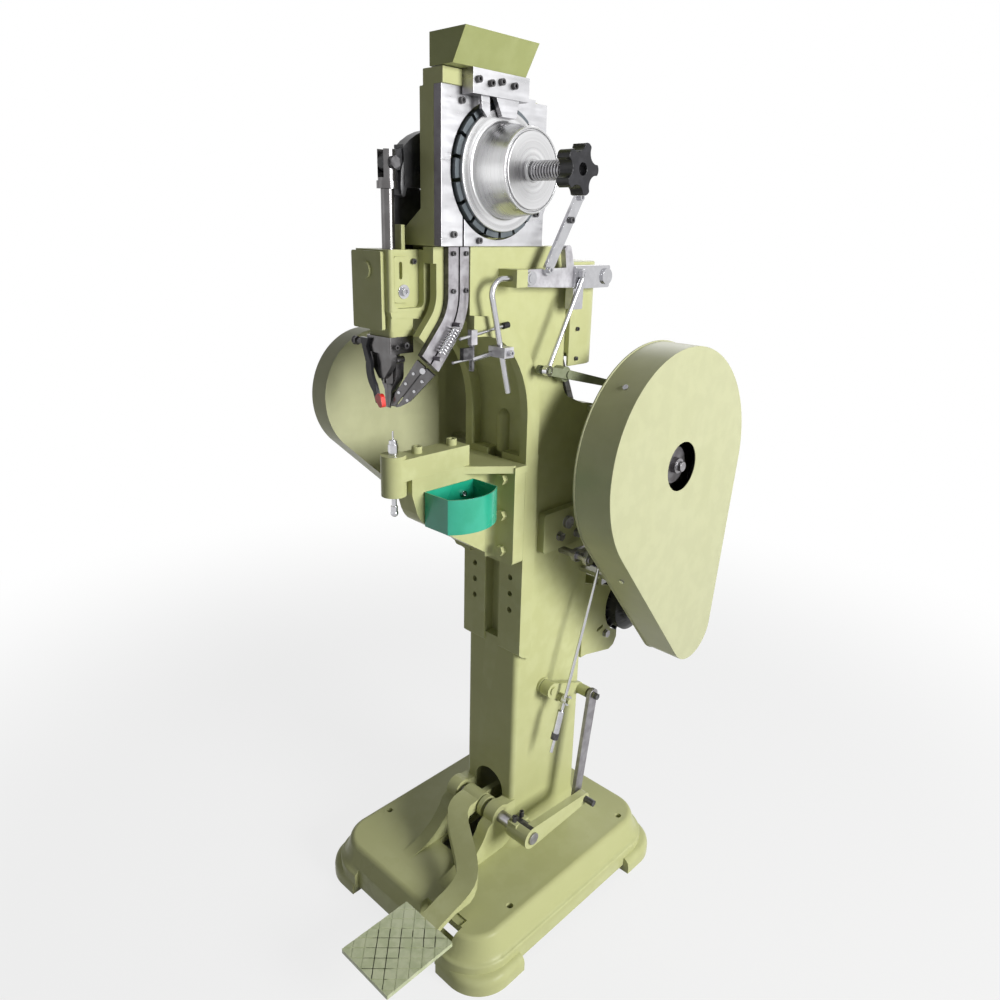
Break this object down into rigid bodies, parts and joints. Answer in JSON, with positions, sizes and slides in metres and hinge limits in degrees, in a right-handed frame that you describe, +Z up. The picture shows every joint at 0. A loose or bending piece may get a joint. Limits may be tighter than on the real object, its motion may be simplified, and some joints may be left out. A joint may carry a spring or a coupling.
{
  "type": "riveting machine",
  "caption": "Floor-standing riveting machine with a C-frame column, rivet hopper, raceway, belt guard and foot treadle.",
  "frame": {"origin": "floor point midway between the four anchor holes of the base", "axes": "+Z up, +X to the machine's right, where the hopper and the big belt guard are, -Y towards the operator"},
  "size_m": [0.468, 0.8489, 1.511],
  "materials": {
    "green_paint": "gloss enamel",
    "steel": "machined",
    "bright_steel": "polished",
    "aluminium": "polished, turned",
    "black_paint": "satin",
    "black_plastic": "gloss",
    "jade_plastic": "gloss",
    "belt_rubber": "matte",
    "bronze": "machined"
  },
  "bodies": {
    "frame": {"base_casting": "green_paint", "column_frame": "green_paint", "rear_cover": "green_paint", "table_bracket": "green_paint", "hex_bolts": "steel", "anvil_arm": "green_paint", "arm_screws": "green_paint", "anvil_pin": "bright_steel", "parts_cup": "jade_plastic", "head_casting": "green_paint", "head_cover": "green_paint", "machine_screws": "steel", "rocker_pin": "steel", "crank_bushes": "bronze", "drive_belt": "belt_rubber", "motor": "black_paint", "motor_bracket": "green_paint", "right_guard": "green_paint", "right_guard_back": "green_paint", "left_guard": "green_paint", "hopper_bracket": "green_paint", "hopper_plate": "steel", "hopper_shaft": "bright_steel", "hopper_spring": "steel", "cap_block": "steel", "rivet_tray": "green_paint", "raceway": "steel", "raceway_support": "green_paint", "chute_spring": "steel", "nose_holder": "steel", "finger_guard": "black_plastic", "support_rod": "bright_steel", "trip_box": "green_paint", "return_spring": "steel"},
    "ram": {"ram_rod": "steel", "ram_clevis": "steel", "clevis_pin": "black_paint"},
    "rocker": {"rocker_beam": "black_paint"},
    "rod": {"connecting_rod": "steel"},
    "crank": {"crankshaft": "steel"},
    "wheel": {"flywheel": "steel"},
    "motor_drive": {"motor_pulley": "steel"},
    "drum": {"feed_ring": "steel", "hopper_drum": "aluminium"},
    "knob": {"star_knob": "black_plastic"},
    "plunger": {"pilot_plunger": "bright_steel"},
    "chute": {"feed_chute": "steel"},
    "left_jaw": {"jaw_left": "steel"},
    "right_jaw": {"jaw_right": "steel"},
    "gate": {"gate_rod": "bright_steel"},
    "bell": {"bell_crank": "steel"},
    "feed_link": {"feed_rod": "bright_steel"},
    "feeder": {"feed_lever": "green_paint"},
    "trip": {"trip_shaft": "steel"},
    "release": {"release_rod": "bright_steel"},
    "lever": {"release_lever": "green_paint"},
    "link": {"link_bar": "steel"},
    "treadle": {"pedal": "green_paint", "treadle_shaft": "steel", "crank_arm": "green_paint"}
  },
  "joints": [
    {"name": "crank_turn", "type": "hinge", "parent": "frame", "child": "crank", "pos_m": [0, 0.188, 0.878], "axis": [1, 0, 0], "range_deg": [0, 180]},
    {"name": "rocker_swing", "type": "hinge", "parent": "frame", "child": "rocker", "pos_m": [0, -0.1, 1.331], "axis": [1, 0, 0], "range_deg": [0, 14.4]},
    {"name": "ram_slide", "type": "slide", "parent": "frame", "child": "ram", "axis": [0, 0, -1], "range_m": [0, 0.0447]},
    {"name": "rod_swing", "type": "hinge", "parent": "rocker", "child": "rod", "pos_m": [0, -0.01269, 1.32003], "axis": [1, 0, 0], "range_deg": [-14.4, 0]},
    {"name": "flywheel_spin", "type": "hinge", "parent": "frame", "child": "wheel", "pos_m": [0, 0.188, 0.878], "axis": [1, 0, 0], "continuous": true},
    {"name": "motor_spin", "type": "hinge", "parent": "frame", "child": "motor_drive", "pos_m": [0, 0.292, 0.519], "axis": [1, 0, 0], "continuous": true},
    {"name": "drum_turn", "type": "hinge", "parent": "frame", "child": "drum", "pos_m": [0, -0.13, 1.348], "axis": [1, 0, 0], "continuous": true},
    {"name": "knob_turn", "type": "hinge", "parent": "frame", "child": "knob", "pos_m": [0, -0.13, 1.348], "axis": [1, 0, 0], "continuous": true},
    {"name": "plunger_press", "type": "slide", "parent": "frame", "child": "plunger", "axis": [0, 0, -1], "range_m": [0, 0.01], "stiffness_N_per_m": 400, "springref_m": -0.004},
    {"name": "chute_swing", "type": "hinge", "parent": "frame", "child": "chute", "pos_m": [0.05092, -0.25716, 1.07239], "axis": [0.4619, -0.8869, 0], "range_deg": [0, 6], "stiffness_Nm_per_rad": 0.8, "springref_deg": -17.19},
    {"name": "left_jaw_open", "type": "hinge", "parent": "frame", "child": "left_jaw", "pos_m": [-0.017, -0.277, 1.086], "axis": [0, 1, 0], "range_deg": [0, 3.6], "stiffness_Nm_per_rad": 0.6, "springref_deg": -11.46},
    {"name": "right_jaw_open", "type": "hinge", "parent": "frame", "child": "right_jaw", "pos_m": [0.017, -0.277, 1.086], "axis": [0, 1, 0], "range_deg": [-3.6, 0]},
    {"name": "gate_slide", "type": "slide", "parent": "frame", "child": "gate", "axis": [0, 0.9897, 0.143], "range_m": [-0.002, 0.012]},
    {"name": "bell_rock", "type": "hinge", "parent": "frame", "child": "bell", "pos_m": [0, -0.077, 1.2], "axis": [1, 0, 0], "range_deg": [-5.7, 0]},
    {"name": "feed_rod_swing", "type": "hinge", "parent": "bell", "child": "feed_link", "pos_m": [0, 0.04, 1.204], "axis": [1, 0, 0], "range_deg": [0, 5.2]},
    {"name": "feeder_rock", "type": "hinge", "parent": "frame", "child": "feeder", "pos_m": [0, 0.03, 1.04], "axis": [1, 0, 0], "range_deg": [0, 9.2]},
    {"name": "pedal_press", "type": "hinge", "parent": "frame", "child": "treadle", "pos_m": [0, -0.08, 0.175], "axis": [1, 0, 0], "range_deg": [0, 4], "stiffness_Nm_per_rad": 60, "springref_deg": -17.19},
    {"name": "link_swing", "type": "hinge", "parent": "treadle", "child": "link", "pos_m": [0, 0.081, 0.173], "axis": [1, 0, 0], "range_deg": [-5.1, 0]},
    {"name": "lever_rock", "type": "hinge", "parent": "frame", "child": "lever", "pos_m": [0, 0.029, 0.424], "axis": [1, 0, 0], "range_deg": [0, 7.8]},
    {"name": "release_rod_swing", "type": "hinge", "parent": "lever", "child": "release", "pos_m": [0, 0.048, 0.404], "axis": [1, 0, 0], "range_deg": [-7.4, 0]},
    {"name": "trip_turn", "type": "hinge", "parent": "frame", "child": "trip", "pos_m": [0, 0.066, 0.703], "axis": [1, 0, 0], "range_deg": [0, 2.8]}
  ],
  "couplings": [
    {"joint": "rocker_swing", "follows": "crank_turn", "ratio": 0.079556},
    {"joint": "rod_swing", "follows": "crank_turn", "ratio": -0.079556},
    {"joint": "ram_slide", "follows": "crank_turn", "m_per_rad": 0.014155},
    {"joint": "bell_rock", "follows": "crank_turn", "ratio": -0.030876},
    {"joint": "feed_rod_swing", "follows": "crank_turn", "ratio": 0.027693},
    {"joint": "feeder_rock", "follows": "crank_turn", "ratio": 0.050293},
    {"joint": "motor_spin", "follows": "flywheel_spin", "ratio": 5.34},
    {"joint": "right_jaw_open", "follows": "left_jaw_open", "ratio": -1},
    {"joint": "link_swing", "follows": "pedal_press", "ratio": -1.251},
    {"joint": "lever_rock", "follows": "pedal_press", "ratio": 1.914},
    {"joint": "release_rod_swing", "follows": "pedal_press", "ratio": -1.791},
    {"joint": "trip_turn", "follows": "pedal_press", "ratio": 0.669}
  ]
}
